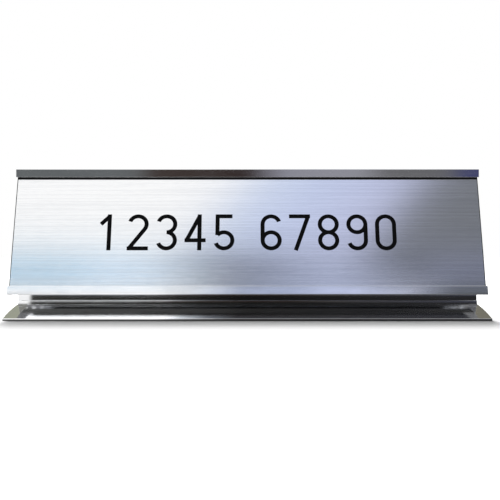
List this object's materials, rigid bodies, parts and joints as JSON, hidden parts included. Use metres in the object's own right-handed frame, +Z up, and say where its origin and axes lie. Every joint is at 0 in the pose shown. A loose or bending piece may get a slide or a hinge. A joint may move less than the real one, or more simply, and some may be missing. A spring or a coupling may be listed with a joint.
{
  "type": "desk name plate",
  "caption": "Free-standing desk name plate: a hollow extruded aluminium frame with tilted face channels on a low crowned foot, holding an engraved brushed plate that slides in from either end.",
  "frame": {"origin": "under the middle of the holder, on the surface it stands on", "axes": "+X along the holder to the reader's right, +Y from the front edge to the back, +Z up"},
  "size_m": [0.2032, 0.048, 0.065],
  "materials": {
    "bright_aluminium": "bright-dipped and clear anodised, close to a mirror, with faint draw lines along the length",
    "brushed_cap": "fine horizontal brushing, satin",
    "black_core": "matt black, engraved through the cap",
    "black_oxide_steel": "black oxide",
    "bumper_rubber": "matt"
  },
  "bodies": {
    "holder": {"plate_frame": "bright_aluminium", "base_foot": "bright_aluminium", "left_lock_screw": "black_oxide_steel", "right_lock_screw": "black_oxide_steel", "front_left_bumper": "bumper_rubber", "front_right_bumper": "bumper_rubber", "rear_left_bumper": "bumper_rubber", "rear_right_bumper": "bumper_rubber"},
    "name_plate": {"name_plate_core": "black_core", "name_plate_face": "brushed_cap"}
  },
  "joints": [
    {"name": "plate_slide", "type": "slide", "parent": "holder", "child": "name_plate", "axis": [1, 0, 0], "range_m": [-0.15, 0.15]}
  ]
}
